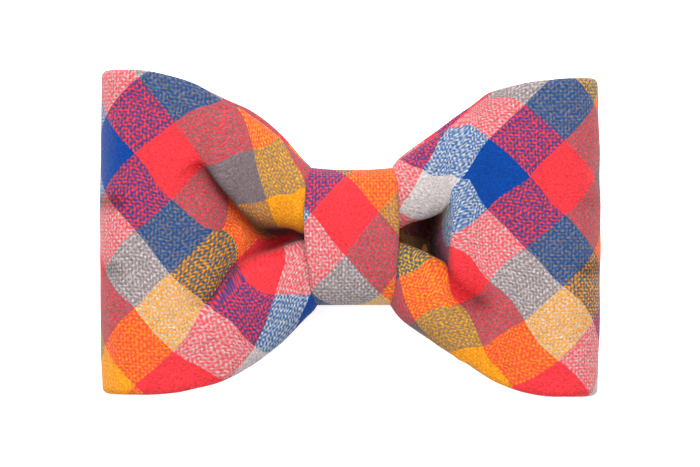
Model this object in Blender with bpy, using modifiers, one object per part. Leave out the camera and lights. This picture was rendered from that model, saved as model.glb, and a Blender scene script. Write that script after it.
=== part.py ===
"""A pet's bow tie in padded flannel, lying on its back: +X to the right, +Y up the bow, +Z out of its front.

One padded strip goes round as a ring, flattened into two open loops and pinched in the middle.
A knot band goes round the pinch, and a strap on the knot's back takes the collar.
Lengths are in metres. The origin is on the surface that the bow lies on, under the middle of the bow.
"""

import math
from collections import namedtuple

import bmesh
import bpy
from mathutils import Vector

MM = 0.001

# The bow: one padded strip of flannel
BOW_WIDTH = 121.0 * MM
BOW_HEIGHT = 79.0 * MM
LOOP_DEPTH = 28.0 * MM  # from the surface it lies on to the top of its puffs
PADDING = 3.2 * MM  # the strip's thickness: two layers of flannel and their wadding
PINCHED_SHARE = 0.6  # of the padding, where the knot squeezes it
END_FOLD = 9.0 * MM  # how far the round fold at each loop's outer end reaches along X
END_BULGE = 1.3 * MM  # how much less the loops reach at their corners than at mid height

# The knot band round the pinch
KNOT_WIDTH = 23.2 * MM
KNOT_HEIGHT = 33.0 * MM
KNOT_DEPTH = 21.0 * MM
KNOT_WALL = 2.4 * MM
KNOT_DROP = 0.7 * MM  # the knot sits this much below the bow's middle
KNOT_TAPER = 1.5 * MM  # how much further in its edges are at its top and bottom

# The strap that the collar passes through
STRAP_WIDTH = 16.0 * MM
STRAP_THICKNESS = 1.2 * MM
COLLAR_HEIGHT = 27.0 * MM  # room for a 25 mm collar
COLLAR_GAP = 4.8 * MM  # room for its thickness
TAB_LENGTH = 5.5 * MM

FIT = 0.3 * MM  # the gap between pieces that touch
MERGE = 0.01 * MM

FLANNEL_COLOUR = (0.80, 0.20, 0.18)
ELASTIC_COLOUR = (0.03, 0.03, 0.035)
CLOTH_ROUGHNESS = 0.9

# How finely the ring, the strip and the knot are divided
PINCH_STEPS = 3  # from the pinch's middle to the knot's edge
FRONT_STEPS = 20  # from there to the end fold, on the front
BACK_STEPS = 9  # and on the back
FOLD_STEPS = 4  # a quarter of the way round the end fold
PUFF_ROWS = 6
SLOPE_ROWS = 4
VALLEY_ROWS = 2
KNOT_STEPS = 36
KNOT_ROWS = 6

STRAP_TOP = STRAP_THICKNESS + COLLAR_GAP + STRAP_THICKNESS
KNOT_BACK = STRAP_TOP + FIT
KNOT_MIDDLE = KNOT_BACK + KNOT_DEPTH / 2
FRONT_ROUNDNESS = 2.6  # exponent of the knot's oval section; 2 is an ellipse
BACK_ROUNDNESS = 4.5  # it is squarer at the back
BACK_PRESS = 0.06  # and pressed flat over this last share of its half depth
RIM_ROUNDING = 0.35  # of the padding where it is pinched
KNOT_ROUNDING = 0.3  # of the knot's wall

# Shares of a loop's length, from the knot, over which what the knot does to the strip fades out
SWELL_FADE = 0.12  # the padding swells to its full thickness and the strip leaves the pinch's depth
TAPER_FADE = 0.25  # the strip no longer follows the knot's curved edge
DROP_FADE = 0.33
ROLL_FADE = 0.6  # the strip's rims unroll

# One row for each station along a loop, from the knot's edge (0) to the outer end (1).
# top and bottom: shares of the way from the pinch's half height to the bow's.
# crown and rim: heights of the front's middle and of its top and bottom rims, as shares of LOOP_DEPTH.
# floor: height of the valley between the two puffs, as a share of the way from the back layer to the crown.
# fold_up and fold_down: where the upper and the lower puff rise from the valley, as shares of the strip's
# half height there, from its middle.
# soft: width of the slope up each puff, as a share of the same.
Station = namedtuple("Station", "share top bottom crown rim floor fold_up fold_down soft")
LEFT_LOOP = (
    Station(0.00, 0.00, 0.00, 0.85, 0.62, 0.05, 0.11, -0.07, 0.61),
    Station(0.04, 0.22, 0.31, 0.89, 0.62, 0.05, 0.09, -0.01, 0.38),
    Station(0.12, 0.39, 0.47, 0.92, 0.63, 0.10, 0.05, -0.08, 0.31),
    Station(0.22, 0.56, 0.62, 0.94, 0.66, 0.34, 0.08, -0.20, 0.30),
    Station(0.33, 0.68, 0.76, 0.94, 0.70, 0.66, 0.24, -0.31, 0.31),
    Station(0.45, 0.79, 0.87, 0.93, 0.75, 0.88, 0.37, -0.38, 0.34),
    Station(0.60, 0.91, 0.95, 0.92, 0.79, 0.96, 0.29, -0.30, 0.38),
    Station(0.78, 0.99, 0.97, 0.90, 0.80, 0.98, 0.21, -0.24, 0.41),
    Station(1.00, 0.99, 0.93, 0.88, 0.80, 1.00, 0.19, -0.20, 0.41),
)
RIGHT_LOOP = (
    Station(0.00, 0.00, 0.00, 0.85, 0.62, 0.05, 0.11, -0.07, 0.61),
    Station(0.04, 0.18, 0.25, 0.89, 0.62, 0.05, 0.19, -0.02, 0.38),
    Station(0.12, 0.31, 0.39, 0.93, 0.63, 0.10, 0.23, -0.09, 0.30),
    Station(0.22, 0.46, 0.55, 0.95, 0.66, 0.36, 0.30, -0.18, 0.30),
    Station(0.33, 0.62, 0.68, 0.94, 0.70, 0.78, 0.38, -0.34, 0.34),
    Station(0.45, 0.77, 0.82, 0.93, 0.75, 0.93, 0.37, -0.42, 0.37),
    Station(0.60, 0.87, 0.94, 0.92, 0.79, 0.97, 0.30, -0.30, 0.40),
    Station(0.78, 0.92, 0.99, 0.90, 0.80, 0.98, 0.23, -0.22, 0.41),
    Station(1.00, 0.94, 0.95, 0.88, 0.80, 1.00, 0.19, -0.20, 0.41),
)

# One row for each station along a loop's back, which lies on the surface past the knot.
# middle and rim: heights above that surface, as shares of the way up to the pinch's back and to its rims.
BackStation = namedtuple("BackStation", "share middle rim")
LOOP_BACK = (
    BackStation(0.00, 1.00, 1.00),
    BackStation(0.04, 0.93, 0.92),
    BackStation(0.12, 0.56, 0.68),
    BackStation(0.22, 0.15, 0.44),
    BackStation(0.33, 0.00, 0.26),
    BackStation(0.45, 0.00, 0.14),
    BackStation(0.60, 0.00, 0.07),
    BackStation(0.78, 0.00, 0.05),
    BackStation(1.00, 0.00, 0.05),
)

PINCHED = PADDING * PINCHED_SHARE
PINCH_HALF_HEIGHT = KNOT_HEIGHT / 2 - KNOT_WALL - FIT - PINCHED / 2
PINCH_HALF_DEPTH = KNOT_DEPTH / 2 - KNOT_WALL - FIT - PINCHED / 2
PINCH_REACH = KNOT_WIDTH / 2 + FIT
FOLD_START = BOW_WIDTH / 2 - END_FOLD - PADDING / 2
LOOP_LENGTH = BOW_WIDTH / 2 - PINCH_REACH


def smooth(share):
    """Eases from 0 to 1, and stays there outside that range."""
    share = min(1.0, max(0.0, share))
    return share * share * (3 - 2 * share)


def along(stations, column, share):
    """A column's value at a share of the loop's length, on a smooth curve through its stations."""
    after = next((i for i, row in enumerate(stations) if row.share > share), len(stations) - 1)
    near = [stations[min(len(stations) - 1, max(0, i))] for i in range(after - 2, after + 2)]
    values = [getattr(row, column) for row in near]
    span = near[2].share - near[1].share
    slopes = []
    for i in (1, 2):
        reach = near[i + 1].share - near[i - 1].share
        slopes.append((values[i + 1] - values[i - 1]) / reach * span)
    t = min(1.0, (share - near[1].share) / span)
    return (
        values[1] * (2 * t**3 - 3 * t**2 + 1)
        + slopes[0] * (t**3 - 2 * t**2 + t)
        + values[2] * (3 * t**2 - 2 * t**3)
        + slopes[1] * (t**3 - t**2)
    )


def oval(angle, roundness):
    """A point on an oval of half sizes 1, at an angle from its top."""
    sine, cosine = math.sin(angle), math.cos(angle)
    power = 2 / roundness
    return (
        math.copysign(abs(sine) ** power, sine),
        math.copysign(abs(cosine) ** power, cosine),
    )


def folds(stations, share, bottom, top):
    """Y of the folds at the lower and the upper puff's foot, and the width of their slopes."""
    middle, half = (bottom + top) / 2, (top - bottom) / 2
    fold_down = middle + along(stations, "fold_down", share) * half
    fold_up = middle + along(stations, "fold_up", share) * half
    return fold_down, fold_up, along(stations, "soft", share) * half


def strip_rows(stations, share):
    """Y of the strip's rows, from its bottom rim to its top rim. They follow the folds."""
    spread = BOW_HEIGHT / 2 - PINCH_HALF_HEIGHT
    drop = KNOT_DROP * (1 - smooth(share / DROP_FADE))
    top = PINCH_HALF_HEIGHT + spread * along(stations, "top", share) - drop
    bottom = -PINCH_HALF_HEIGHT - spread * along(stations, "bottom", share) - drop
    fold_down, fold_up, soft = folds(stations, share, bottom, top)
    edges = [bottom, fold_down - soft, fold_down, fold_up, fold_up + soft, top]
    counts = [PUFF_ROWS, SLOPE_ROWS, VALLEY_ROWS, SLOPE_ROWS, PUFF_ROWS]
    rows = [bottom]
    for low, high, count in zip(edges, edges[1:], counts):
        rows += [low + (high - low) * k / count for k in range(1, count + 1)]
    return rows


def section(stations, share, row):
    """Y, and Z on the front and on the back, of the strip's middle surface."""
    rows = strip_rows(stations, share)
    bottom, y, top = rows[0], rows[row], rows[-1]
    across = 2 * (y - bottom) / (top - bottom) - 1
    aside, arch = oval(across * math.pi / 2, FRONT_ROUNDNESS)
    fold_down, fold_up, soft = folds(stations, share, bottom, top)
    on_a_puff = smooth(max(y - fold_up, fold_down - y) / soft)

    lying = PADDING / 2
    seam = KNOT_MIDDLE - PINCHED / 2 - FIT
    middle = lying + (KNOT_MIDDLE - PINCH_HALF_DEPTH - lying) * along(LOOP_BACK, "middle", share)
    rim = lying + (seam - lying) * along(LOOP_BACK, "rim", share)
    back = max(lying, rim + (middle - rim) * arch)

    pinch = 1 - smooth(share / SWELL_FADE)
    crown = along(stations, "crown", share) * LOOP_DEPTH
    crown += (KNOT_MIDDLE + PINCH_HALF_DEPTH - crown) * pinch
    rim = along(stations, "rim", share) * LOOP_DEPTH
    rim += (KNOT_MIDDLE + PINCHED / 2 + FIT - rim) * pinch
    front = rim + (crown - rim) * arch
    touching = back + PADDING + FIT
    floor = touching + (crown - touching) * along(stations, "floor", share)
    front = min(front, floor) + max(0.0, front - floor) * on_a_puff

    rolled = 1 - smooth(share / ROLL_FADE)
    return y + (top - bottom) / 2 * (aside - across) * rolled, front, back, across


Column = namedtuple("Column", "side front share x angle")


def quarter(side, front):
    """The ring's columns from its middle out to a loop's end: the pinch, the loop and half of the end fold."""
    steps = FRONT_STEPS if front else BACK_STEPS
    columns = [Column(side, front, 0.0, PINCH_REACH * k / PINCH_STEPS, 0.0) for k in range(PINCH_STEPS)]
    for k in range(steps + 1):
        x = PINCH_REACH + (FOLD_START - PINCH_REACH) * k / steps
        columns.append(Column(side, front, (x - PINCH_REACH) / LOOP_LENGTH, x, 0.0))
    last = columns[-1]
    for k in range(1, FOLD_STEPS + 1):
        columns.append(last._replace(angle=math.pi / 2 * k / FOLD_STEPS))
    return columns


def ring_columns():
    """All columns, from the front's middle round the right loop, over the back and round the left loop."""
    right_front, right_back = quarter(1, True), quarter(1, False)
    left_front, left_back = quarter(-1, True), quarter(-1, False)
    return right_front + right_back[-2::-1] + left_back[1:] + left_front[-2::-1]


def strip_point(column, row):
    """A point of the strip's middle surface."""
    stations = RIGHT_LOOP if column.side > 0 else LEFT_LOOP
    y, front, back, across = section(stations, column.share, row)
    middle, half = (front + back) / 2, (front - back) / 2
    z = middle + half * math.cos(column.angle) * (1 if column.front else -1)
    taper = KNOT_TAPER * abs(across) ** 3 * (1 - smooth(column.share / TAPER_FADE))
    x = column.x * (1 - taper / PINCH_REACH)
    x += (END_FOLD - END_BULGE * across * across) * math.sin(column.angle)
    return Vector((column.side * x, y, z))


def new_object(name, mesh, collection, colour):
    """Links an object with its own material."""
    material = bpy.data.materials.new(name)
    material.use_nodes = True
    shader = material.node_tree.nodes["Principled BSDF"]
    shader.inputs["Base Color"].default_value = (*colour, 1)
    shader.inputs["Roughness"].default_value = CLOTH_ROUGHNESS
    shader.inputs["Metallic"].default_value = 0.0
    mesh.materials.append(material)
    mesh.shade_smooth()
    obj = bpy.data.objects.new(name, mesh)
    collection.objects.link(obj)
    return obj


def pad(obj, thickness, rounding, group=None):
    """Gives an open surface its thickness, with rounded rims."""
    solid = obj.modifiers.new("padding", "SOLIDIFY")
    solid.thickness = thickness
    solid.offset = 0
    solid.use_even_offset = False
    if group:
        solid.vertex_group = group
    edge = obj.modifiers.new("rounded rims", "BEVEL")
    edge.width = rounding
    edge.segments = 2
    edge.limit_method = "ANGLE"
    edge.angle_limit = math.radians(60)
    edge.use_clamp_overlap = True


def make_bow(collection):
    """The padded strip: a ring of two open loops, pinched in the middle."""
    columns = ring_columns()
    rows = 2 * PUFF_ROWS + 2 * SLOPE_ROWS + VALLEY_ROWS
    grid = bmesh.new()
    bmesh.ops.create_grid(grid, x_segments=len(columns) - 1, y_segments=rows, size=1)
    weights = grid.verts.layers.deform.verify()
    for vertex in grid.verts:
        column = columns[round((vertex.co.x + 1) / 2 * (len(columns) - 1))]
        row = round((vertex.co.y + 1) / 2 * rows)
        vertex[weights][0] = PINCHED_SHARE + (1 - PINCHED_SHARE) * smooth(column.share / SWELL_FADE)
        vertex.co = strip_point(column, row)
    bmesh.ops.remove_doubles(grid, verts=grid.verts, dist=MERGE)
    bmesh.ops.recalc_face_normals(grid, faces=grid.faces)
    mesh = bpy.data.meshes.new("bow")
    grid.to_mesh(mesh)
    grid.free()
    bow = new_object("bow", mesh, collection, FLANNEL_COLOUR)
    bow.vertex_groups.new(name="padding")
    pad(bow, PADDING, PINCHED * RIM_ROUNDING, "padding")
    return bow


def make_knot(collection):
    """The band round the pinch, flat at its back."""
    grid = bmesh.new()
    bmesh.ops.create_grid(grid, x_segments=KNOT_STEPS, y_segments=KNOT_ROWS, size=1)
    half_height = (KNOT_HEIGHT - KNOT_WALL) / 2
    half_depth = (KNOT_DEPTH - KNOT_WALL) / 2
    for vertex in grid.verts:
        turn, row = vertex.co.x, vertex.co.y
        roundness = FRONT_ROUNDNESS if abs(turn) <= 0.5 else BACK_ROUNDNESS
        aside, up = oval(turn * math.pi, roundness)
        if up < 0:
            up = max(-1, up * (1 + BACK_PRESS))
        half_width = KNOT_WIDTH / 2 - KNOT_TAPER * abs(aside) ** 3
        vertex.co = (
            row * half_width,
            aside * half_height - KNOT_DROP,
            KNOT_MIDDLE + up * half_depth,
        )
    bmesh.ops.remove_doubles(grid, verts=grid.verts, dist=MERGE)
    bmesh.ops.recalc_face_normals(grid, faces=grid.faces)
    mesh = bpy.data.meshes.new("knot")
    grid.to_mesh(mesh)
    grid.free()
    knot = new_object("knot", mesh, collection, FLANNEL_COLOUR)
    pad(knot, KNOT_WALL, KNOT_WALL * KNOT_ROUNDING)
    return knot


def make_collar_strap(collection):
    """A flat strap sewn to the knot's back by its two ends, which stands off it by a collar's thickness."""
    half = COLLAR_HEIGHT / 2 + STRAP_THICKNESS / 2
    low = STRAP_THICKNESS / 2
    high = STRAP_TOP - STRAP_THICKNESS / 2
    strap_line = [
        (half - TAB_LENGTH, high),
        (half, high),
        (half, low),
        (-half, low),
        (-half, high),
        (-half + TAB_LENGTH, high),
    ]
    strap = bmesh.new()
    corners = [strap.verts.new((-STRAP_WIDTH / 2, y - KNOT_DROP, z)) for y, z in strap_line]
    edges = [strap.edges.new(pair) for pair in zip(corners, corners[1:])]
    made = bmesh.ops.extrude_edge_only(strap, edges=edges)["geom"]
    moved = [item for item in made if isinstance(item, bmesh.types.BMVert)]
    bmesh.ops.translate(strap, verts=moved, vec=(STRAP_WIDTH, 0, 0))
    bmesh.ops.recalc_face_normals(strap, faces=strap.faces)
    mesh = bpy.data.meshes.new("collar_strap")
    strap.to_mesh(mesh)
    strap.free()
    obj = new_object("collar_strap", mesh, collection, ELASTIC_COLOUR)
    solid = obj.modifiers.new("webbing", "SOLIDIFY")
    solid.thickness = STRAP_THICKNESS
    solid.offset = 0
    solid.use_even_offset = True
    return obj


def main():
    for old in list(bpy.data.objects):
        bpy.data.objects.remove(old)
    collection = bpy.data.collections.new("pet_bow_tie")
    bpy.context.scene.collection.children.link(collection)
    make_bow(collection)
    make_knot(collection)
    make_collar_strap(collection)


main()
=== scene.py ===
"""Looks of the flannel bow tie: the padded check strip, its knot band and the elastic strap behind it."""

import math
from collections import namedtuple

import bmesh
import bpy
import numpy as np
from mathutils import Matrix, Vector, noise


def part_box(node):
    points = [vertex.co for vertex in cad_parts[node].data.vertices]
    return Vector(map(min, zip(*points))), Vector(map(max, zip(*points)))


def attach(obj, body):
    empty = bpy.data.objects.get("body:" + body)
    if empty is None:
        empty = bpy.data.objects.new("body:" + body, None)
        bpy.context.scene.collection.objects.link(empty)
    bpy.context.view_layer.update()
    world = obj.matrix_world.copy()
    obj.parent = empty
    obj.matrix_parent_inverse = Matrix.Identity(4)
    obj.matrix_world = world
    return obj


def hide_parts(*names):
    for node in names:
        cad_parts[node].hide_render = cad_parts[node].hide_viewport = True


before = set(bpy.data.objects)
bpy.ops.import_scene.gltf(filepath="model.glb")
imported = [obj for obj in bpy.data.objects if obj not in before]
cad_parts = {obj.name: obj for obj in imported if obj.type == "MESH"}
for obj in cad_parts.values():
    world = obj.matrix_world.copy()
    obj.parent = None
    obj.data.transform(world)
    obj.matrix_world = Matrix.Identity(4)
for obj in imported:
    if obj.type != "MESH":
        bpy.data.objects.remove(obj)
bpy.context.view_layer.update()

MM = 0.001
bow_low, bow_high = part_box("bow")
knot_low, knot_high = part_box("knot")
strap_low, strap_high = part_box("collar_strap")

# The bow's strip
HALF_WIDTH = bow_high.x
HALF_HEIGHT = (bow_high.y - bow_low.y) / 2
LOOP_DEPTH = bow_high.z
PADDING = 3.2 * MM
PINCHED_PADDING = 1.9 * MM
END_FOLD = 9.0 * MM
END_BULGE = 0.6 * MM

# The knot band
KNOT_MIDDLE = (knot_low + knot_high) / 2
KNOT_HALF = (knot_high - knot_low) / 2
KNOT_WALL = 2.4 * MM
KNOT_ROUNDNESS = 2.6
KNOT_BACK_ROUNDNESS = 4.5
KNOT_TAPER = 1.5 * MM
FIT = 0.3 * MM
PINCH_HALF_HEIGHT = KNOT_HALF.y - KNOT_WALL - FIT
PINCH_HALF_DEPTH = KNOT_HALF.z - KNOT_WALL - FIT
PINCH_REACH = KNOT_HALF.x + FIT
LOOP_LENGTH = HALF_WIDTH - PINCH_REACH
FLARE_START = 7.5 * MM

# The elastic strap: its size, how finely it is divided, its selvedges, ribs and weave
STRAP_THICKNESS = 1.2 * MM
STRAP_TAB = 5.5 * MM
STRAP_BEND = 1.6 * MM
STRAP_STEP = 0.25 * MM
STRAP_ROWS = 64
STRAP_SELVEDGE = 0.04
STRAP_RIB = 0.5 * MM
STRAP_RIB_HEIGHT = 0.06 * MM
STRAP_RIBBED = 0.86
STRAP_WEAVE = 0.8 * MM
STRAP_WEAVE_HEIGHT = 0.05 * MM

# How finely the cloth is divided
PINCH_STEPS = 6
FRONT_STEPS = 104
BACK_STEPS = 40
FOLD_STEPS = 14
PUFF_ROWS = 22
SLOPE_ROWS = 18
VALLEY_ROWS = 16
RIM_STEPS = 6
INSIDE_STRIDE = 2
KNOT_STEPS = 160
KNOT_ROWS = 48

# The check, and the yarns it is woven of: the colour and the bulk of each
STRIPE = 13.25 * MM
THREADS_A_STRIPE = 36
# The grains that the nap lets through: the height of a row and the length of a grain, in millimetres.
GRAIN_ROW = 0.90
GRAIN_STEP = 1.5
# The order of the stripes in the two directions of the weave.
WARP = ("red", "grey", "yellow", "red", "white", "blue")
WEFT = ("blue", "red", "grey", "gold", "red", "white")
YARN = {
    "white": (0.815, 0.775, 0.77, 1.0),
    "blue": (0.0, 0.275, 0.61, 0.8),
    "red": (0.98, 0.24, 0.275, 1.0),
    "grey": (0.49, 0.43, 0.445, 1.0),
    "yellow": (1.0, 0.67, 0.15, 1.0),
    "gold": (1.0, 0.595, 0.13, 1.0),
}
YARN_GAMMA = 2.2
YARN_DEPTH = 0.42
# How much richer the colours are painted in the folds: painted light that bounces from cloth to cloth.
FOLD_RICHNESS = 1.4
# How far the weave wanders, how ragged its stripes' edges are and how far its grains waver, in millimetres.
WEAVE_DRIFT = 1.6
EDGE_WAVER = 0.5
GRAIN_WAVER = 0.65

# One row for each station along a loop, from the knot's edge (0) to the outer end (1).
# top and bottom: shares of the way from the pinch's half height to the bow's.
# crown and rim: heights of the front's middle and of its rims, as shares of LOOP_DEPTH.
# floor: height of the valley between the puffs, as a share of the way from the back layer to the crown.
# fold_up and fold_down: height of the upper and the lower puff's lip over the bow's middle, in MM.
# soft: width of the slope up each puff, in MM.
# lean_up and lean_down: how far each puff's lip leans over the valley, in MM.
# peek: how far the back layer's top rim shows above the front's, as a share of PADDING.
# cloth_top and cloth_bottom: the place on the cloth at the two rims, in stripes from a crossing.
# slide_up and slide_down: how far the cloth is pulled outwards or inwards in the two puffs, in stripes.
STATION = "share top bottom crown rim floor fold_up fold_down soft lean_up lean_down peek"
Station = namedtuple("Station", STATION + " cloth_top cloth_bottom slide_up slide_down")
LEFT_LOOP = (
    Station(-1.0, 0.0, 0.0, 0.9, 0.66, 0.02, -0.4, -1.2, 6.0, 0.5, 0.5, 0.0, 0.56, -4.68, 0.0, 0.0),
    Station(-0.085, 0.0, 0.09, 0.9, 0.66, 0.02, -0.4, -1.2, 6.0, 0.5, 0.5, 0.0, 0.56, -4.68, 0.0, 0.0),
    Station(-0.049, 0.12, 0.2, 0.9, 0.66, 0.02, -0.4, -1.2, 6.0, 1.0, 0.8, 0.0, 0.57, -4.68, 0.0, 0.0),
    Station(0.0, 0.23, 0.28, 0.92, 0.66, 0.05, -0.1, -1.4, 6.0, 1.5, 1.0, 0.1, 0.57, -4.68, 0.0, 0.0),
    Station(0.04, 0.29, 0.35, 0.94, 0.66, 0.14, 0.6, -2.0, 6.5, 2.0, 1.2, 0.2, 0.63, -4.66, -0.02, -0.01),
    Station(0.12, 0.48, 0.52, 0.97, 0.67, 0.28, 1.0, -3.4, 7.0, 1.6, 1.2, 0.4, 0.69, -4.62, -0.06, -0.04),
    Station(0.2, 0.62, 0.68, 0.99, 0.7, 0.5, 1.4, -4.6, 8.5, 0.8, 1.2, 0.4, 0.72, -4.61, -0.14, -0.06),
    Station(0.28, 0.71, 0.79, 0.99, 0.73, 0.64, 4.4, -6.6, 8.0, 1.4, 1.2, 0.4, 0.53, -4.72, -0.3, -0.15),
    Station(0.34, 0.74, 0.84, 0.99, 0.75, 0.68, 7.8, -9.2, 8.0, 2.2, 1.0, 0.3, 0.51, -4.84, -0.31, -0.22),
    Station(0.42, 0.8, 0.89, 0.99, 0.78, 0.8, 12.4, -14.0, 8.0, 1.6, 0.6, 0.1, 0.71, -4.91, -0.18, -0.14),
    Station(0.5, 0.87, 0.92, 0.97, 0.8, 0.9, 16.5, -17.0, 9.0, 0.6, 0.2, 0.0, 0.74, -4.96, -0.11, -0.05),
    Station(0.62, 0.94, 0.96, 0.95, 0.82, 0.98, 13.0, -13.0, 12.0, 0.0, 0.0, 0.0, 0.77, -4.93, -0.08, 0.0),
    Station(0.78, 0.99, 0.97, 0.93, 0.83, 0.99, 8.0, -9.0, 15.0, 0.0, 0.0, 0.0, 0.74, -5.0, -0.05, 0.0),
    Station(1.0, 0.99, 0.93, 0.9, 0.82, 1.0, 7.0, -8.0, 15.0, 0.0, 0.0, 0.0, 0.48, -5.05, -0.05, 0.0),
)
RIGHT_LOOP = (
    Station(-1.0, 0.0, 0.0, 0.9, 0.66, 0.02, 0.2, -1.4, 6.0, 0.5, 0.5, 0.0, 0.37, -4.35, 0.11, -0.05),
    Station(-0.05, 0.0, 0.1, 0.9, 0.66, 0.02, 0.2, -1.4, 6.0, 0.5, 0.5, 0.0, 0.37, -4.35, 0.11, -0.05),
    Station(-0.02, 0.12, 0.17, 0.9, 0.66, 0.02, 0.3, -1.5, 6.0, 1.5, 0.8, 0.0, 0.37, -4.35, 0.11, -0.05),
    Station(0.0, 0.21, 0.22, 0.92, 0.66, 0.02, 0.4, -1.6, 6.5, 2.5, 1.8, 0.1, 0.39, -4.37, 0.11, 0.02),
    Station(0.06, 0.29, 0.33, 0.95, 0.66, 0.02, 1.6, -2.5, 7.0, 4.2, 2.8, 0.1, 0.52, -4.48, 0.11, 0.08),
    Station(0.12, 0.39, 0.43, 0.97, 0.67, 0.04, 2.2, -3.4, 7.5, 5.0, 3.6, 0.2, 0.6, -4.6, 0.11, 0.16),
    Station(0.165, 0.465, 0.5, 0.98, 0.69, 0.16, 3.0, -4.6, 7.5, 4.4, 3.8, 0.3, 0.73, -4.68, 0.11, 0.2),
    Station(0.21, 0.525, 0.59, 0.99, 0.7, 0.6, 4.6, -6.0, 7.5, 2.0, 3.4, 0.3, 0.71, -4.79, 0.11, 0.2),
    Station(0.25, 0.575, 0.635, 0.99, 0.71, 0.97, 7.2, -7.8, 7.5, 0.2, 3.2, 0.3, 0.73, -4.85, 0.11, 0.19),
    Station(0.29, 0.63, 0.69, 0.99, 0.73, 1.0, 10.4, -10.6, 8.0, 0.0, 2.4, 0.25, 0.8, -4.89, 0.02, 0.18),
    Station(0.34, 0.685, 0.73, 0.98, 0.74, 0.97, 12.6, -13.8, 8.5, 0.0, 1.2, 0.12, 0.78, -4.87, -0.08, 0.13),
    Station(0.42, 0.79, 0.83, 0.97, 0.78, 0.94, 15.0, -17.0, 9.0, 0.0, 0.6, 0.05, 0.87, -4.79, 0.0, 0.16),
    Station(0.5, 0.84, 0.895, 0.96, 0.8, 0.97, 16.0, -18.0, 10.0, 0.0, 0.0, 0.05, 0.95, -4.92, -0.01, 0.2),
    Station(0.62, 0.89, 0.96, 0.95, 0.82, 0.98, 13.0, -14.0, 12.0, 0.0, 0.0, 0.1, 1.02, -4.86, -0.02, 0.18),
    Station(0.78, 0.92, 0.99, 0.93, 0.83, 0.99, 8.0, -9.0, 15.0, 0.0, 0.0, 0.1, 1.09, -4.84, -0.03, 0.12),
    Station(1.0, 0.94, 0.95, 0.9, 0.82, 1.0, 7.0, -8.0, 15.0, 0.0, 0.0, 0.0, 1.18, -5.06, -0.05, 0.05),
)
# Where the cloth is at the middle of each end fold, and how much the sewing gathers it, for each side.
TIP_CLOTH = {1: 2.66, -1: -0.50}
GATHER = {1: 1.07, -1: 1.0}
# The knot's cloth at its front's middle, and how much it is gathered round the knot and across it.
KNOT_CLOTH = (3.905, -2.746)
KNOT_GATHER = (0.96, 1.16)

# One row for each station along a loop's back.
# middle and rim: heights above the surface it lies on, as shares of the way up to the pinch.
BackStation = namedtuple("BackStation", "share middle rim")
LOOP_BACK = (
    BackStation(0.0, 1.0, 1.0),
    BackStation(0.04, 0.8, 0.92),
    BackStation(0.12, 0.4, 0.68),
    BackStation(0.22, 0.08, 0.44),
    BackStation(0.33, 0.0, 0.26),
    BackStation(0.45, 0.0, 0.14),
    BackStation(0.6, 0.0, 0.07),
    BackStation(0.78, 0.0, 0.05),
    BackStation(1.0, 0.0, 0.05),
)
# One row for each height on the knot's front, from its bottom (0) to its top (1).
# left and right: how far its two edges lie from the middle, as shares of its half width.
KnotStation = namedtuple("KnotStation", "share left right")
KNOT_EDGES = (
    KnotStation(-0.1, 0.8, 0.9),
    KnotStation(0.0, 0.8, 0.9),
    KnotStation(0.12, 0.85, 0.96),
    KnotStation(0.34, 0.93, 1.02),
    KnotStation(0.62, 0.98, 1.04),
    KnotStation(0.85, 0.94, 1.01),
    KnotStation(1.0, 0.88, 0.97),
)
# How far the knot's edges roll back, and how far the middle of its top is drawn in, as shares of its size.
KNOT_ROLL = 0.05
KNOT_DIP = 0.03

# Shares of a loop's length, from the knot, over which what the knot does to the strip fades out
SWELL_FADE = 0.12
TAPER_FADE = 0.25
DROP_FADE = 0.33
ROLL_FADE = 0.6

# How far from each puff's foot the cloth between the puffs dips. It dips as far as the lip leans.
DIP_WIDTH = 8.0 * MM
# The shallow crease that runs on from the right loop's pocket, dented and darkened with painted shade: its
# heights are in MM.
CRIMP_SHARES = (0.15, 0.19, 0.31, 0.41, 0.50)
CRIMP_HEIGHTS = (-5.5, -7.5, -14.2, -17.2, -18.5)
CRIMP_START_FADE = 0.08
CRIMP_END_FADE = 0.16
CRIMP_WIDTH = 2.4 * MM
CRIMP_DEPTH = 0.9 * MM
CRIMP_SHADE = 0.30

# How much darker the cloth is painted deep in each side's folds, as painted shade: from which depth on, and
# up to which share.
POCKET_SHADE = {1: 0.85, -1: 0.10}
POCKET_DEPTH = 10.0 * MM
POCKET_DEPTH_FADE = 8.0 * MM
POCKET_END = 0.26
POCKET_END_FADE = 0.08
# How much darker it is painted along the creases at the upper and the lower puff's foot, as painted shade,
# for each side.
CREASE_SHADE = {1: (0.10, 0.35), -1: (0.45, 0.30)}
CREASE_WIDTH = 3.0 * MM
CREASE_DEPTH = 2.0 * MM

# How much of the cloth under the lower and the upper lip counts towards its length, for each side.
WALL_CLOTH = {1: (0.6, 0.6), -1: (0.2, 1.0)}
# How much more cloth the right loop's upper puff takes up towards its top rim, and where along it.
TOP_CROWD = 2.8
TOP_CROWD_SHARE = 0.44
TOP_CROWD_WIDTH = 0.10
# The row, from the lower puff's foot, at which its cloth meets the upper puff's, for each side.
SEAM_ROW = {1: 0, -1: 9}
# How far the cloth of each loop's back is pulled along, in stripes, and where that fades out.
BACK_SLIDE = {1: 1.0, -1: 0.0}
BACK_SLIDE_FADE = 0.3

# How uneven the padding is, and how large its bumps are
UNEVEN = 0.35 * MM
UNEVEN_SIZE = 9.0 * MM
UNEVEN_SEED = 3.1
KNOT_UNEVEN = 0.25 * MM
KNOT_UNEVEN_SIZE = 7.0 * MM
KNOT_UNEVEN_SEED = 8.4
FLOOR_GAP = 0.02 * MM
MERGE = 0.001 * MM

# The camera's frame at the bow's front, its height and its sensor
FRAME_WIDTH = 168.0 * MM
CAMERA_HEIGHT = 1.2
SENSOR_WIDTH = 36.0


def smooth(share):
    """Eases from 0 to 1, and stays there outside that range."""
    share = min(1.0, max(0.0, share))
    return share * share * (3 - 2 * share)


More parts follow.
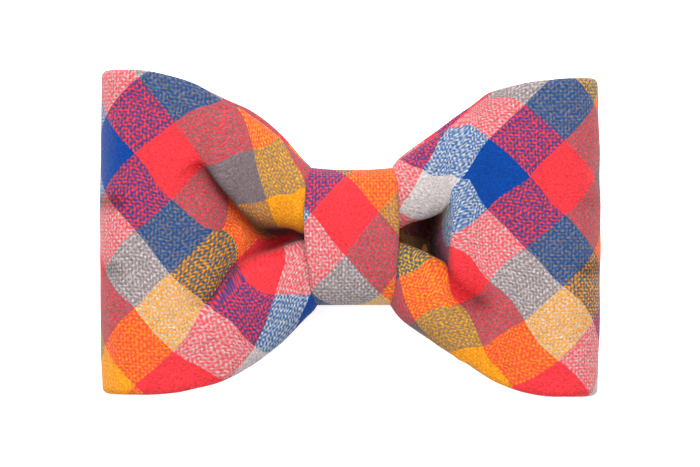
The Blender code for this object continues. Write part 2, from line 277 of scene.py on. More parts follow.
def along(stations, column, share):
    """A column's value at a share of the loop's length, on a smooth curve through its stations."""
    after = next((i for i, row in enumerate(stations) if row.share > share), len(stations) - 1)
    near = [stations[min(len(stations) - 1, max(0, i))] for i in range(after - 2, after + 2)]
    values = [getattr(row, column) for row in near]
    span = near[2].share - near[1].share
    slopes = []
    for i in (1, 2):
        reach = near[i + 1].share - near[i - 1].share
        slopes.append((values[i + 1] - values[i - 1]) / reach * span)
    t = min(1.0, (share - near[1].share) / span)
    return (
        values[1] * (2 * t**3 - 3 * t**2 + 1)
        + slopes[0] * (t**3 - 2 * t**2 + t)
        + values[2] * (3 * t**2 - 2 * t**3)
        + slopes[1] * (t**3 - t**2)
    )


def oval(angle, roundness):
    """A point on an oval of half sizes 1, at an angle from its top."""
    sine, cosine = math.sin(angle), math.cos(angle)
    power = 2 / roundness
    return math.copysign(abs(sine) ** power, sine), math.copysign(abs(cosine) ** power, cosine)


Column = namedtuple("Column", "side front share x angle")


def quarter(side, front):
    """The ring's columns from its middle to a loop's end: the pinch, the loop and half of the end fold."""
    steps = FRONT_STEPS if front else BACK_STEPS
    start = HALF_WIDTH - END_FOLD
    places = [FLARE_START * k / PINCH_STEPS for k in range(PINCH_STEPS)]
    places += [FLARE_START + (start - FLARE_START) * k / steps for k in range(steps + 1)]
    columns = [Column(side, front, (x - PINCH_REACH) / LOOP_LENGTH, x, 0.0) for x in places]
    last = columns[-1]
    for k in range(1, FOLD_STEPS + 1):
        columns.append(last._replace(angle=math.pi / 2 * k / FOLD_STEPS))
    return columns


def ring_columns():
    """The ring's columns once round: the front's middle, the right loop, the back and the left loop."""
    right_front, right_back = quarter(1, True), quarter(1, False)
    left_front, left_back = quarter(-1, True), quarter(-1, False)
    return right_front + right_back[-2::-1] + left_back[1:] + left_front[-2:0:-1]


def strip_rows(bottom, top, fold_down, fold_up, soft):
    """Y of the strip's rows, from its bottom rim to its top rim. They follow the puffs' feet."""
    rise = [soft * (1 - math.cos(math.pi / 2 * k / SLOPE_ROWS)) for k in range(SLOPE_ROWS + 1)]
    return [
        *np.linspace(bottom, fold_down - soft, PUFF_ROWS, endpoint=False),
        *[fold_down - t for t in rise[:0:-1]],
        *np.linspace(fold_down, fold_up, VALLEY_ROWS, endpoint=False),
        *[fold_up + t for t in rise[:-1]],
        *np.linspace(fold_up + soft, top, PUFF_ROWS + 1),
    ]


def puff_rise(t):
    """Height of a puff's side over its foot, as a share: steep at the foot and round at the top."""
    t = min(1.0, max(0.0, t))
    return math.sqrt(1 - (1 - t) ** 2.2)


def lip_share(t):
    """How much of a puff's lean is felt up its side: none at the foot, all on the lip, none on its back."""
    return smooth(t / 0.25) * (1 - smooth((t - 0.4) / 1.2))


def undercut(lean, soft):
    """How far a puff's foot lies behind its lip."""
    return -min(soft * t - lean * lip_share(t) for t in np.linspace(0, 1, 21))


def column_points(column):
    """The strip's outer surface along one column, from its bottom rim up, with the painted shade of its
    folds.
    """
    stations = RIGHT_LOOP if column.side > 0 else LEFT_LOOP
    share = column.share
    row = {name: along(stations, name, share) for name in Station._fields[1:]}
    spread = HALF_HEIGHT - PINCH_HALF_HEIGHT
    drop = -KNOT_MIDDLE.y * (1 - smooth(share / DROP_FADE))
    top = PINCH_HALF_HEIGHT + spread * row["top"] - drop - PADDING / 2
    bottom = -PINCH_HALF_HEIGHT - spread * row["bottom"] - drop + PADDING / 2
    if column.front:
        top -= row["peek"] * PADDING * math.cos(column.angle)
    middle, half = (bottom + top) / 2, (top - bottom) / 2
    soft = row["soft"] * MM
    pinch = 1 - smooth(share / SWELL_FADE)
    rolled = 1 - smooth(share / ROLL_FADE)
    taper = KNOT_TAPER * (1 - smooth(share / TAPER_FADE))
    back_middle = (KNOT_MIDDLE.z - PINCH_HALF_DEPTH) * along(LOOP_BACK, "middle", max(0.0, share))
    back_rim = (KNOT_MIDDLE.z - PINCHED_PADDING - FIT) * along(LOOP_BACK, "rim", max(0.0, share))
    crown = row["crown"] * LOOP_DEPTH
    crown += (KNOT_MIDDLE.z + PINCH_HALF_DEPTH - crown) * pinch
    rim = row["rim"] * LOOP_DEPTH + PADDING / 2
    rim += (KNOT_MIDDLE.z + PINCHED_PADDING + FIT - rim) * pinch

    lean_up, lean_down = max(0.0, row["lean_up"]) * MM, max(0.0, row["lean_down"]) * MM
    fold_up = max(row["fold_up"] * MM, row["fold_down"] * MM) + undercut(lean_up, soft)
    fold_down = row["fold_down"] * MM - undercut(lean_down, soft)

    points = []
    for y in strip_rows(bottom, top, fold_down, fold_up, soft):
        across = (y - middle) / half
        aside, arch = oval(across * math.pi / 2, KNOT_ROUNDNESS)
        back = max(0.0, back_rim + (back_middle - back_rim) * arch)
        front = rim + (crown - rim) * arch
        touching = back + 2 * PINCHED_PADDING + FIT
        floor = touching + (crown - touching) * row["floor"]
        dip = lean_up * (1 - smooth((fold_up - y) / DIP_WIDTH))
        dip += lean_down * (1 - smooth((y - fold_down) / DIP_WIDTH))
        floor = max(touching, floor - dip * smooth(400 * (crown - floor)))
        drop_in = max(0.0, front - floor)
        t = max(y - fold_up, fold_down - y) / soft
        z = min(front, floor) + drop_in * puff_rise(t)
        y_out = y + half * (aside - across) * rolled * smooth(t)
        if column.front:
            lean = lean_up if y > (fold_up + fold_down) / 2 else -lean_down
            y_out -= lean * lip_share(t) * smooth(4 * drop_in / LOOP_DEPTH)
        crimp = 0.0
        if column.front and column.side > 0:
            line = np.interp(share, CRIMP_SHARES, CRIMP_HEIGHTS) * MM
            crimp = math.exp(-((y - line) / CRIMP_WIDTH) ** 2)
            crimp *= smooth((share - CRIMP_SHARES[0]) / CRIMP_START_FADE)
            crimp *= smooth((CRIMP_SHARES[-1] - share) / CRIMP_END_FADE)
            z -= CRIMP_DEPTH * crimp
        if column.angle:
            centre, radius = (z + back) / 2, (z - back) / 2
            z = centre + radius * math.cos(column.angle) * (1 if column.front else -1)
        elif not column.front:
            z = back
        x = column.x * (1 - taper / PINCH_REACH * abs(across) ** 3)
        x += (END_FOLD - END_BULGE * across * across) * math.sin(column.angle)
        sunk = max(0.0, front - z) * column.front
        # Painted shade along the crimp, stored with the pocket's and the creases' as the fold attribute.
        light = 1 - CRIMP_SHADE * crimp
        # Painted shade deep in the pocket.
        pocket = smooth((sunk - POCKET_DEPTH) / POCKET_DEPTH_FADE)
        pocket *= smooth((POCKET_END - share) / POCKET_END_FADE)
        light *= 1 - POCKET_SHADE[column.side] * pocket
        # Painted shade along the creases at the puffs' feet.
        for foot, strength in zip((fold_up, fold_down), CREASE_SHADE[column.side]):
            crease = (1 - smooth(abs(foot - y) / CREASE_WIDTH)) * smooth(sunk / CREASE_DEPTH)
            light *= 1 - strength * crease
        points.append((column.side * x, y_out, z, 1 - light))
    return points


def ring_smoothed(field, times):
    """A field on the ring, averaged with its neighbours, with its rims' rows kept in place."""
    for _ in range(times):
        field = (np.roll(field, 1, axis=0) + np.roll(field, -1, axis=0) + 2 * field) / 4
        inside = (field[:, :-2] + field[:, 2:] + 2 * field[:, 1:-1]) / 4
        field = np.concatenate([field[:, :1], inside, field[:, -1:]], axis=1)
    return field


def unit(vectors):
    """Vectors at length 1."""
    return vectors / np.maximum(np.linalg.norm(vectors, axis=-1, keepdims=True), 1e-12)


def ring_normals(outer):
    """Outward normals of a ring's outer surface."""
    round_ring = np.roll(outer, -1, axis=0) - np.roll(outer, 1, axis=0)
    return unit(np.cross(round_ring, np.gradient(outer, axis=1)))


def uneven(points, normals, size, scale, seed):
    """Points moved a little along their normals, as hand-sewn padding is never quite even."""
    moved = points.copy()
    shift = Vector((seed, 2.7 * seed, 5.1 * seed))
    for place in np.ndindex(points.shape[:2]):
        moved[place] += normals[place] * size * noise.noise(Vector(points[place]) / scale + shift)
    return moved


def arc_lengths(points, axis, weights=1.0):
    """Length along an axis of a grid of points, from its first row or column."""
    steps = np.linalg.norm(np.diff(points, axis=axis), axis=2) * weights
    start = np.zeros_like(np.take(steps, [0], axis=axis))
    return np.concatenate([start, np.cumsum(steps, axis=axis)], axis=axis)


def rim_arc(outer_edge, inner_edge, beyond, steps):
    """Rows of a round rim from an outer edge to an inner one. beyond is the row before the outer edge."""
    middle = (outer_edge + inner_edge) / 2
    up = outer_edge - middle
    radius = np.linalg.norm(up, axis=-1, keepdims=True)
    across = unit(outer_edge - beyond)
    away = unit(across - up * np.sum(across * up, axis=-1, keepdims=True) / radius**2) * radius
    angles = [math.pi * k / steps for k in range(1, steps)]
    return [middle + up * math.cos(angle) + away * math.sin(angle) for angle in angles], angles


def cloth_grid(name, points, cloth, shade=None):
    """A mesh on a grid of points, with the place on the cloth as its UV map and the painted shade as its
    fold attribute. Equal points are merged.
    """
    across, around = points.shape[1] - 1, points.shape[0] - 1
    grid = bmesh.new()
    bmesh.ops.create_grid(grid, x_segments=around, y_segments=across, size=1)
    layer = grid.loops.layers.uv.new("cloth")
    depth = grid.verts.layers.float.new("fold")
    places = {}
    for vertex in grid.verts:
        places[vertex] = (round((vertex.co.x + 1) / 2 * around), round((vertex.co.y + 1) / 2 * across))
    for face in grid.faces:
        for loop in face.loops:
            loop[layer].uv = cloth[places[loop.vert]]
    for vertex, place in places.items():
        vertex.co = points[place]
        vertex[depth] = 0.0 if shade is None else shade[place]
    bmesh.ops.remove_doubles(grid, verts=grid.verts, dist=MERGE)
    mesh = bpy.data.meshes.new(name)
    grid.to_mesh(mesh)
    grid.free()
    mesh.shade_smooth()
    return mesh


def new_piece(name, mesh, material, node):
    """A finished piece in the scene, riding on the part and standing for one of its nodes."""
    mesh.materials.append(material)
    piece = bpy.data.objects.new(name, mesh)
    bpy.context.scene.collection.objects.link(piece)
    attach(piece, "root")
    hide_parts(node)
    return piece


def strip_surfaces(columns):
    """The strip's outer and inner surfaces once round, with the painted shade of its folds and its
    thickness.
    """
    points = ring_smoothed(np.array([column_points(column) for column in columns]), 2)
    outer, shade = points[:, :, :3], points[:, :, 3]
    outer = uneven(outer, ring_normals(outer), UNEVEN, UNEVEN_SIZE, UNEVEN_SEED)
    outer[:, :, 2] = np.maximum(outer[:, :, 2], FLOOR_GAP)
    pinched = np.array([1 - smooth(column.share / SWELL_FADE) for column in columns])
    thickness = PADDING + (PINCHED_PADDING - PADDING) * pinched
    inner = outer - unit(ring_smoothed(ring_normals(outer), 10)) * thickness[:, None, None]
    return outer, ring_smoothed(inner, 3), shade, thickness


def cut_ring(columns):
    """The ring's columns with their numbers, twice at its two middles, where the sides' cloth meets."""
    cut = list(enumerate(columns))
    back_middle = next(i for i, column in cut if not column.front and column.x == 0)
    cut.insert(back_middle + 1, (back_middle, columns[back_middle]._replace(side=-1)))
    cut.append((0, columns[0]._replace(side=-1)))
    return [i for i, column in cut], [column for i, column in cut]


def cloth_along(outer, columns):
    """Each point's place along the cloth, counted inwards from the middles of the two end folds."""
    length = arc_lengths(outer, 0)
    tips = [k for k, column in enumerate(columns) if column.angle > math.pi / 2 - 1e-6]
    right = np.array([column.side > 0 for column in columns])
    cloth_x = np.zeros_like(length)
    cloth_x[right] = TIP_CLOTH[1] * STRIPE - (length[tips[0]] - length[right])
    cloth_x[~right] = TIP_CLOTH[-1] * STRIPE + (length[~right] - length[tips[-1]])
    behind = np.array([BACK_SLIDE[column.side] * (not column.front) for column in columns])
    fade = [smooth((1 - column.share) / BACK_SLIDE_FADE) for column in columns]
    return cloth_x + (behind * fade)[:, None] * STRIPE


def cloth_steps(steps, columns, flat):
    """Weights of the steps up each column, less where the cloth is tucked under the puffs' lips."""
    hidden = (1 - np.array([WALL_CLOTH[column.side] for column in columns])) * (1 - flat)
    wall = SLOPE_ROWS - SLOPE_ROWS // 3
    steps[:, PUFF_ROWS + SLOPE_ROWS - wall:PUFF_ROWS + SLOPE_ROWS] -= hidden[:, :1]
    steps[:, -PUFF_ROWS - SLOPE_ROWS:-PUFF_ROWS - SLOPE_ROWS + wall] -= hidden[:, 1:]
    return steps


def strip_cloth(outer, columns):
    """Places on the cloth of the strip's outer rows, those of the row at which the puffs' cloth meets,
    that row of each column, and each row's height on the cloth."""
    loops = [RIGHT_LOOP if column.side > 0 else LEFT_LOOP for column in columns]
    at = {
        name: np.array([along(loop, name, column.share) for loop, column in zip(loops, columns)])[:, None]
        for name in ("floor", "cloth_top", "cloth_bottom", "slide_up", "slide_down")
    }
    sides = np.array([column.side for column in columns])
    share = np.array([column.share for column in columns])
    front = np.array([column.front for column in columns])
    gather = np.array([GATHER[side] for side in sides])[:, None]
    flat = np.clip(2.5 * at["floor"] - 1.5, 0, 1)

    steps = cloth_steps(np.ones((outer.shape[0], outer.shape[1] - 1)), columns, flat)
    even = arc_lengths(outer, 1, steps)[:, -1:]
    crowd = TOP_CROWD * np.exp(-((share - TOP_CROWD_SHARE) / TOP_CROWD_WIDTH) ** 2) * (sides > 0) * front
    steps[:, -PUFF_ROWS:] += crowd[:, None] * np.linspace(0, 1, PUFF_ROWS) ** 2
    height = arc_lengths(outer, 1, steps)
    from_bottom = at["cloth_bottom"] * STRIPE + height * gather
    from_top = at["cloth_top"] * STRIPE + (height - even) * gather
    slide_up, slide_down = at["slide_up"] * STRIPE, at["slide_down"] * STRIPE
    along_cloth = cloth_along(outer, columns)

    def laid(above):
        over = height / height[:, -1:] * flat + above * (1 - flat)
        cloth_x = along_cloth + slide_down + (slide_up - slide_down) * over
        return cloth_x, from_bottom + (from_top - from_bottom) * over

    seam = PUFF_ROWS + SLOPE_ROWS + np.array([SEAM_ROW[side] for side in sides])[:, None]
    row_number = np.arange(outer.shape[1])[None, :]
    return laid(row_number > seam), laid(row_number >= seam), seam, height


def make_bow(material):
    """The padded strip as a ring of two loops, closed by round rims."""
    columns = ring_columns()
    outer, inner, shade, thickness = strip_surfaces(columns)
    picked, columns = cut_ring(columns)
    outer, inner, shade = outer[picked], inner[picked], shade[picked]
    (cloth_x, cloth_y), (cloth_x_over, cloth_y_over), seam, height = strip_cloth(outer, columns)
    rim_radius = thickness[picked] / 2

    rows, rows_x, rows_y, rows_shade = [], [], [], []

    def add_row(points, x, y, shade=0.0):
        rows.append(points)
        rows_x.append(x)
        rows_y.append(y)
        rows_shade.append(np.zeros(len(points)) + shade)

    last = outer.shape[1] - 1
    for r in range(last + 1):
        add_row(outer[:, r], cloth_x[:, r], cloth_y[:, r], shade[:, r])
        if r in seam:
            add_row(outer[:, r], cloth_x_over[:, r], cloth_y_over[:, r], shade[:, r])
    arcs, angles = rim_arc(outer[:, last], inner[:, last], outer[:, last - 1], RIM_STEPS)
    for points, angle in zip(arcs, angles):
        add_row(points, cloth_x[:, last], cloth_y[:, last] + angle * rim_radius)
    inside_start = cloth_y[:, last] + math.pi * rim_radius
    for r in [*range(last, 0, -INSIDE_STRIDE), 0]:
        add_row(inner[:, r], cloth_x[:, r], inside_start + (height[:, last] - height[:, r]))
    add_row(inner[:, 0], cloth_x[:, 0], cloth_y[:, 0] - math.pi * rim_radius)
    arcs, angles = rim_arc(outer[:, 0], inner[:, 0], outer[:, 1], RIM_STEPS)
    for points, angle in zip(arcs[::-1], angles[::-1]):
        add_row(points, cloth_x[:, 0], cloth_y[:, 0] - angle * rim_radius)
    add_row(outer[:, 0], cloth_x[:, 0], cloth_y[:, 0])

    cloth = np.stack([np.stack(rows_x, axis=1), np.stack(rows_y, axis=1)], axis=2)
    mesh = cloth_grid("flannel_bow", np.stack(rows, axis=1), cloth, np.stack(rows_shade, axis=1))
    piece = new_piece("flannel_bow", mesh, material, "bow")
    return piece


def knot_points():
    """The knot band's outer surface: round the pinch, from its front's middle, and across it."""
    points = []
    for k in range(KNOT_STEPS):
        turn = 2 * k / KNOT_STEPS
        turn -= 2 if turn > 1 else 0
        roundness = KNOT_ROUNDNESS if abs(turn) <= 0.5 else KNOT_BACK_ROUNDNESS
        aside, up = oval(turn * math.pi, roundness)
        up = max(-1.0, up * (1.06 if up < 0 else 1.0))
        on_front = smooth(up / 0.5)
        line = []
        for r in range(KNOT_ROWS + 1):
            across = 2 * r / KNOT_ROWS - 1
            edge = along(KNOT_EDGES, "left" if across < 0 else "right", (aside + 1) / 2)
            half_width = KNOT_HALF.x * edge - KNOT_WALL / 2
            rolled = 1 - KNOT_ROLL * abs(across) ** 5 * on_front
            dipped = 1 - KNOT_DIP * (1 - across * across) * smooth(3 * aside - 2)
            square = rolled + (1 - rolled) * smooth(3 * abs(aside) - 1.6)
            line.append((
                across * half_width,
                KNOT_MIDDLE.y + aside * KNOT_HALF.y * square * dipped,
                KNOT_MIDDLE.z + up * KNOT_HALF.z * rolled,
            ))
        points.append(line)
    return np.array(points)


def make_knot(material):
    """The padded band round the pinch, its cloth turned a quarter from the strip's."""
    outer = knot_points()
    normals = -ring_normals(outer)
    front = np.clip((outer[:, :, 2:] - KNOT_MIDDLE.z) / KNOT_HALF.z, 0, 1)
    outer = uneven(outer, normals * front, KNOT_UNEVEN, KNOT_UNEVEN_SIZE, KNOT_UNEVEN_SEED)
    inner = outer - unit(ring_smoothed(normals, 4)) * KNOT_WALL
    outer = np.concatenate([outer, outer[:1]])
    inner = np.concatenate([inner, inner[:1]])
    length = arc_lengths(outer, 0)
    past_half = np.arange(KNOT_STEPS + 1)[:, None] > KNOT_STEPS // 2
    length = (length - length[-1:] * past_half)[:, KNOT_ROWS // 2]
    round_knot = KNOT_CLOTH[0] * STRIPE - (length + KNOT_MIDDLE.y) * KNOT_GATHER[0]

    rows = [outer[:, r] for r in range(KNOT_ROWS + 1)]
    rows_x = [outer[:, r, 0] for r in range(KNOT_ROWS + 1)]
    arcs, angles = rim_arc(outer[:, -1], inner[:, -1], outer[:, -2], RIM_STEPS)
    rows += arcs
    rows_x += [outer[:, -1, 0] + angle * KNOT_WALL / 2 for angle in angles]
    inside = [*range(KNOT_ROWS, 0, -4), 0]
    rows += [inner[:, r] for r in inside]
    rows_x += [inner[:, r, 0] + 2 * STRIPE for r in inside]
    arcs, angles = rim_arc(outer[:, 0], inner[:, 0], outer[:, 1], RIM_STEPS)
    rows += arcs[::-1]
    rows_x += [outer[:, 0, 0] - angle * KNOT_WALL / 2 for angle in angles[::-1]]
    rows.append(outer[:, 0])
    rows_x.append(outer[:, 0, 0])
    cloth_v = KNOT_CLOTH[1] * STRIPE + np.stack(rows_x, axis=1) * KNOT_GATHER[1]
    cloth_u = np.repeat(round_knot[:, None], cloth_v.shape[1], axis=1)
    cloth = np.stack([cloth_u, cloth_v], axis=2)
    mesh = cloth_grid("flannel_knot", np.stack(rows, axis=1)[::-1], cloth[::-1])
    piece = new_piece("flannel_knot", mesh, material, "knot")
    return piece


def strap_line(step):
    """The strap's middle line in Y and Z, from one tab round the collar's passage to the other."""
    middle_y = (strap_low.y + strap_high.y) / 2
    half = (strap_high.y - strap_low.y - STRAP_THICKNESS) / 2
    low, high = strap_low.z + STRAP_THICKNESS / 2, strap_high.z - STRAP_THICKNESS / 2
    corners = [
        (half - STRAP_TAB, high),
        (half, high),
        (half, low),
        (-half, low),
        (-half, high),
        (-half + STRAP_TAB, high),
    ]
    corners = [np.array([y + middle_y, z]) for y, z in corners]
    line = [corners[0]]
    for before, corner, after in zip(corners, corners[1:], corners[2:]):
        start = corner + unit(before - corner) * STRAP_BEND
        end = corner + unit(after - corner) * STRAP_BEND
        for k in range(9):
            t = k / 8
            line.append(start * (1 - t) ** 2 + corner * 2 * t * (1 - t) + end * t**2)
    line.append(corners[-1])
    line = np.array(line)
    lengths = np.concatenate([[0], np.cumsum(np.linalg.norm(np.diff(line, axis=0), axis=1))])
    even = np.linspace(0, lengths[-1], round(lengths[-1] / step) + 1)
    return np.stack([np.interp(even, lengths, line[:, axis]) for axis in (0, 1)], axis=1), even


def make_strap(material):
    """The elastic strap: ribs along it, flat selvedges, and its two ends turned in as tabs."""
    line, length = strap_line(STRAP_STEP)
    across = unit(np.gradient(line, axis=0))
    normal = np.stack([-across[:, 1], across[:, 0]], axis=1)
    half = strap_high.x
    section = [((2 * k / STRAP_ROWS - 1) * side, side) for side in (1, -1) for k in range(STRAP_ROWS + 1)]
    rows, cloth = [], []
    for x, side in section:
        edge = min(1.0, (1 - abs(x)) / STRAP_SELVEDGE)
        rib = STRAP_RIB_HEIGHT * math.sin(x * half / STRAP_RIB * math.pi) * (abs(x) < STRAP_RIBBED)
        weave = STRAP_WEAVE_HEIGHT * np.sin(length / STRAP_WEAVE * math.pi + (x > 0) * 1.6)
        thickness = STRAP_THICKNESS / 2 * math.sqrt(1 - (1 - edge) ** 2 * 0.96)
        thickness -= STRAP_RIB_HEIGHT + STRAP_WEAVE_HEIGHT + 0.01 * MM
        lift = side * (thickness + (rib + weave) * edge)
        points = np.zeros((len(line), 3))
        points[:, 0] = x * half
        points[:, 1:] = line + normal * lift[:, None]
        rows.append(points)
        cloth.append(np.stack([length, np.full(len(line), x * half)], axis=1))
    rows.append(rows[0])
    cloth.append(cloth[0])
    mesh = cloth_grid("elastic_strap", np.stack(rows, axis=1), np.stack(cloth, axis=1))
    solid = bmesh.new()
    solid.from_mesh(mesh)
    open_edges = [edge for edge in solid.edges if edge.is_boundary]
    bmesh.ops.holes_fill(solid, edges=open_edges, sides=0)
    bmesh.ops.recalc_face_normals(solid, faces=solid.faces)
    solid.to_mesh(mesh)
    solid.free()
    return new_piece("elastic_strap", mesh, material, "collar_strap")


class Nodes:
    """A material's nodes, made one at a time and joined by their outputs."""

    def __init__(self, name):
        self.material = bpy.data.materials.new(name)
        self.material.use_nodes = True
        self.tree = self.material.node_tree
        self.shader = self.tree.nodes["Principled BSDF"]

    def join(self, source, socket):
        if isinstance(source, bpy.types.NodeSocket):
            self.tree.links.new(source, socket)
        else:
            socket.default_value = source

    def add(self, kind, sources=(), **settings):
        node = self.tree.nodes.new("ShaderNode" + kind)
        for name, value in settings.items():
            setattr(node, name, value)
        for place, source in dict(sources).items():
            self.join(source, node.inputs[place])
        return node

    def math(self, operation, *sources):
        return self.add("Math", enumerate(sources), operation=operation).outputs[0]

    def vector(self, operation, *sources):
        node = self.add("VectorMath", enumerate(sources), operation=operation)
        return node.outputs["Value" if operation in ("DOT_PRODUCT", "LENGTH") else "Vector"]

    def noise(self, vector, scale, detail=2.0, roughness=0.5):
        sources = {"Vector": vector, "Scale": scale, "Detail": detail, "Roughness": roughness}
        return self.add("TexNoise", sources)

    def grey(self, value):
        return self.combine(value, value, value)

    def mix(self, factor, first, second, blend="MIX"):
        node = self.add("Mix", data_type="RGBA", blend_type=blend)
        for place, source in ((0, factor), (6, first), (7, second)):
            self.join(source, node.inputs[place])
        return node.outputs[2]

    def combine(self, *sources):
        return self.add("CombineXYZ", enumerate(sources)).outputs[0]


def stripe_colours(nodes, threads, stripes):
    """Colour and bulk of the yarn at a thread, in stripes that repeat."""
    place = nodes.math("DIVIDE", nodes.math("ADD", threads, 0.5), THREADS_A_STRIPE * len(stripes))
    ramp = nodes.add("ValToRGB", {0: nodes.math("FRACT", place)})
    ramp.color_ramp.interpolation = "CONSTANT"
    elements = ramp.color_ramp.elements
    while len(elements) < len(stripes):
        elements.new(0.5)
    for k, name in enumerate(stripes):
        elements[k].position = k / len(stripes)
        elements[k].color = YARN[name]
    return ramp.outputs[0], ramp.outputs[1]


def flannel():
    """Brushed yarn-dyed flannel: a check of diagonal stripes, its twill half hidden under a short nap."""
    nodes = Nodes("flannel")
    cloth = nodes.add("UVMap", uv_map="cloth").outputs[0]
    scaled = nodes.add("VectorMath", {"Vector": cloth, "Scale": 1 / MM}, operation="SCALE")
    in_mm = scaled.outputs["Vector"]
    middle = (0.5, 0.5, 0.5)
    drift = nodes.vector("SUBTRACT", nodes.noise(in_mm, 0.07, 1.0).outputs["Color"], middle)
    waver = nodes.vector("SUBTRACT", nodes.noise(in_mm, 1.0, 2.0).outputs["Color"], middle)
    moved = nodes.vector("MULTIPLY_ADD", drift, (WEAVE_DRIFT, WEAVE_DRIFT, 0), in_mm)
    edges = nodes.vector("MULTIPLY_ADD", waver, (EDGE_WAVER, EDGE_WAVER, 0), moved)
    grains = nodes.vector("MULTIPLY_ADD", waver, (GRAIN_WAVER, GRAIN_WAVER, 0), moved)

    # The stripes: which thread of each direction runs here, and its colour.
    pitch = STRIPE / THREADS_A_STRIPE / MM
    diagonal = math.sqrt(0.5) / pitch
    warp = nodes.math("FLOOR", nodes.vector("DOT_PRODUCT", edges, (diagonal, diagonal, 0)))
    weft = nodes.math("FLOOR", nodes.vector("DOT_PRODUCT", edges, (diagonal, -diagonal, 0)))
    warp_colour, warp_bulk = stripe_colours(nodes, warp, WARP)
    weft_colour, weft_bulk = stripe_colours(nodes, weft, WEFT)

    # The grains, which lie one way in some patches and the other way in others: which yarn is on top.
    row, step = 2 * math.pi / GRAIN_ROW, 2 * math.pi / GRAIN_STEP
    patch = nodes.noise(in_mm, 0.45, 1.0).outputs["Fac"]
    patch = nodes.add("MapRange", {0: patch, 1: 0.38, 2: 0.62, 3: 0.15, 4: 0.85}).outputs[0]
    waves = [
        nodes.math("COSINE", nodes.vector("DOT_PRODUCT", grains, direction))
        for direction in ((0, row, 0), (step, row / 2, 0), (row, 0, 0), (-row / 2, step, 0))
    ]
    lying = nodes.math("MULTIPLY_ADD", waves[0], 1.2, waves[1])
    standing = nodes.math("MULTIPLY_ADD", waves[2], 1.2, waves[3])
    height = nodes.add("Mix", {0: patch, 2: lying, 3: standing}, data_type="FLOAT").outputs[0]
    fleck = nodes.noise(in_mm, 0.75, 3.0, 0.7).outputs["Fac"]
    height = nodes.math("ADD", height, nodes.math("MULTIPLY_ADD", fleck, 5.0, -2.5))
    share = nodes.add("MapRange", {0: height, 1: -2.0, 2: 2.0}, interpolation_type="SMOOTHSTEP")
    share = share.outputs[0]
    fuzz = nodes.noise(nodes.vector("ADD", in_mm, (31, 17, 0)), 1.5, 2.0, 0.6).outputs["Fac"]
    spread = nodes.add("MapRange", {0: fuzz, 1: 0.3, 2: 0.7, 3: 0.55, 4: 0.92}).outputs[0]
    share = nodes.math("MULTIPLY_ADD", nodes.math("SUBTRACT", share, 0.5), spread, 0.5)
    share = nodes.math("MULTIPLY_ADD", nodes.math("SUBTRACT", warp_bulk, weft_bulk), 0.5, share)
    colour = nodes.mix(share, weft_colour, warp_colour)

    # The nap: fine light and dark, and slow changes from place to place; the floats' crowns painted lighter,
    # as painted highlight.
    grain = nodes.noise(in_mm, 1.7, 3.0, 0.7)
    grain.inputs["Distortion"].default_value = 0.8
    cloudy = nodes.noise(in_mm, 0.35, 2.0).outputs["Fac"]
    top = nodes.math("MULTIPLY", nodes.math("ABSOLUTE", nodes.math("SUBTRACT", share, 0.5)), 2.0)
    bright = nodes.add("MapRange", {0: grain.outputs["Fac"], 1: 0.3, 2: 0.7, 3: 0.77, 4: 1.15}).outputs[0]
    # Painted highlight on the crowns of the floats, darker gaps between them.
    bright = nodes.math("MULTIPLY_ADD", top, 0.10, bright)
    bright = nodes.math("MULTIPLY", bright, nodes.math("MULTIPLY_ADD", cloudy, 0.12, 0.94))
    colour = nodes.mix(1.0, colour, nodes.grey(bright), "MULTIPLY")

    # The folds: the yarns' colours are made linear, and painted richer and darker where little light comes,
    # from the painted shade in the fold attribute.
    fold = nodes.add("Attribute", attribute_name="fold").outputs["Fac"]
    power = nodes.math("MULTIPLY_ADD", fold, FOLD_RICHNESS, YARN_GAMMA)
    colour = nodes.add("Gamma", {0: colour, 1: power}).outputs[0]
    depth = nodes.math("MULTIPLY_ADD", fold, -YARN_DEPTH, YARN_DEPTH)
    colour = nodes.mix(1.0, colour, nodes.grey(depth), "MULTIPLY")
    nodes.join(colour, nodes.shader.inputs["Base Color"])

    relief = nodes.math("MULTIPLY_ADD", top, 0.5, grain.outputs["Fac"])
    bump = nodes.add("Bump", {"Strength": 0.8, "Distance": 0.25 * MM, "Height": relief})
    nodes.join(bump.outputs[0], nodes.shader.inputs["Normal"])
    nodes.shader.inputs["Roughness"].default_value = 0.92
    nodes.shader.inputs["Specular IOR Level"].default_value = 0.08
    nodes.shader.inputs["Sheen Weight"].default_value = 0.06
    nodes.shader.inputs["Sheen Roughness"].default_value = 0.45
    nodes.shader.inputs["Sheen Tint"].default_value = (1.0, 0.93, 0.9, 1)
    return nodes.material


def elastic():
    """Black woven elastic: fine threads over its ribs."""
    nodes = Nodes("elastic")
    place = nodes.add("UVMap", uv_map="cloth").outputs[0]
    split = nodes.add("SeparateXYZ", {0: place})
    rib = nodes.math("PINGPONG", nodes.math("MULTIPLY", split.outputs[1], 1 / (2 * STRAP_RIB)), 0.5)
    thread = nodes.math("PINGPONG", nodes.math("MULTIPLY", split.outputs[0], 1 / (0.4 * MM)), 0.5)
    relief = nodes.math("MULTIPLY", nodes.math("ADD", rib, 0.3), nodes.math("ADD", thread, 0.5))
    # Painted shade and highlight: the ramp darkens the grooves between ribs and threads and lightens their
    # tops.
    shade = nodes.add("ValToRGB", {0: relief})
    shade.color_ramp.elements[0].color = (0.006, 0.006, 0.007, 1)
    shade.color_ramp.elements[1].color = (0.05, 0.05, 0.056, 1)
    nodes.join(shade.outputs[0], nodes.shader.inputs["Base Color"])
    bump = nodes.add("Bump", {"Strength": 0.7, "Distance": 0.15 * MM, "Height": relief})
    nodes.join(bump.outputs[0], nodes.shader.inputs["Normal"])
    nodes.shader.inputs["Roughness"].default_value = 0.7
    nodes.shader.inputs["Sheen Weight"].default_value = 0.2
    return nodes.material


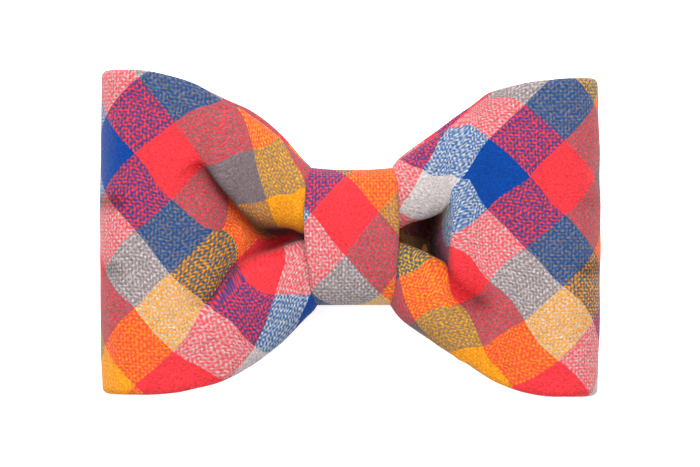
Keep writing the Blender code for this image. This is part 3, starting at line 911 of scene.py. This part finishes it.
def studio_floor():
    """Plain white paper under the bow."""
    nodes = Nodes("floor")
    grain = nodes.noise(nodes.add("TexCoord").outputs["Object"], 40.0, 3.0).outputs["Fac"]
    shade = nodes.math("MULTIPLY_ADD", grain, 0.01, 0.90)
    nodes.join(nodes.grey(shade), nodes.shader.inputs["Base Color"])
    nodes.shader.inputs["Roughness"].default_value = 1.0
    nodes.shader.inputs["Specular IOR Level"].default_value = 0.0
    nodes.shader.inputs["Emission Color"].default_value = (1, 1, 1, 1)
    nodes.shader.inputs["Emission Strength"].default_value = 0.35
    paper = bmesh.new()
    bmesh.ops.create_grid(paper, x_segments=1, y_segments=1, size=4.0)
    mesh = bpy.data.meshes.new("floor")
    paper.to_mesh(mesh)
    paper.free()
    mesh.materials.append(nodes.material)
    floor = bpy.data.objects.new("floor", mesh)
    bpy.context.scene.collection.objects.link(floor)


def area_light(name, place, size, power):
    """A square soft light that faces the bow."""
    light = bpy.data.lights.new(name, "AREA")
    light.size = size
    light.energy = power
    lamp = bpy.data.objects.new(name, light)
    lamp.location = place
    lamp.rotation_euler = (-Vector(place)).to_track_quat("-Z", "Y").to_euler()
    bpy.context.scene.collection.objects.link(lamp)


def studio():
    """Camera straight above the bow, soft white light from all round and a large light from its top."""
    camera = bpy.data.cameras.new("camera")
    camera.sensor_width = SENSOR_WIDTH
    camera.lens = SENSOR_WIDTH * (CAMERA_HEIGHT - 0.7 * LOOP_DEPTH) / FRAME_WIDTH
    camera.clip_start = 0.01
    eye = bpy.data.objects.new("camera", camera)
    eye.location = (0, 0, CAMERA_HEIGHT)
    bpy.context.scene.collection.objects.link(eye)
    bpy.context.scene.camera = eye
    world = bpy.data.worlds.new("studio")
    world.use_nodes = True
    world.node_tree.nodes["Background"].inputs["Color"].default_value = (1, 1, 1, 1)
    world.node_tree.nodes["Background"].inputs["Strength"].default_value = 1.15
    bpy.context.scene.world = world
    area_light("top_light", (0.0, 0.6, 0.9), 0.6, 22.0)
    area_light("fill_light", (-0.3, -0.25, 1.0), 0.9, 4.0)
    bpy.context.scene.view_settings.view_transform = "Standard"


def main():
    """Makes every piece and the studio."""
    cloth = flannel()
    make_bow(cloth)
    make_knot(cloth)
    make_strap(elastic())
    studio_floor()
    studio()


main()
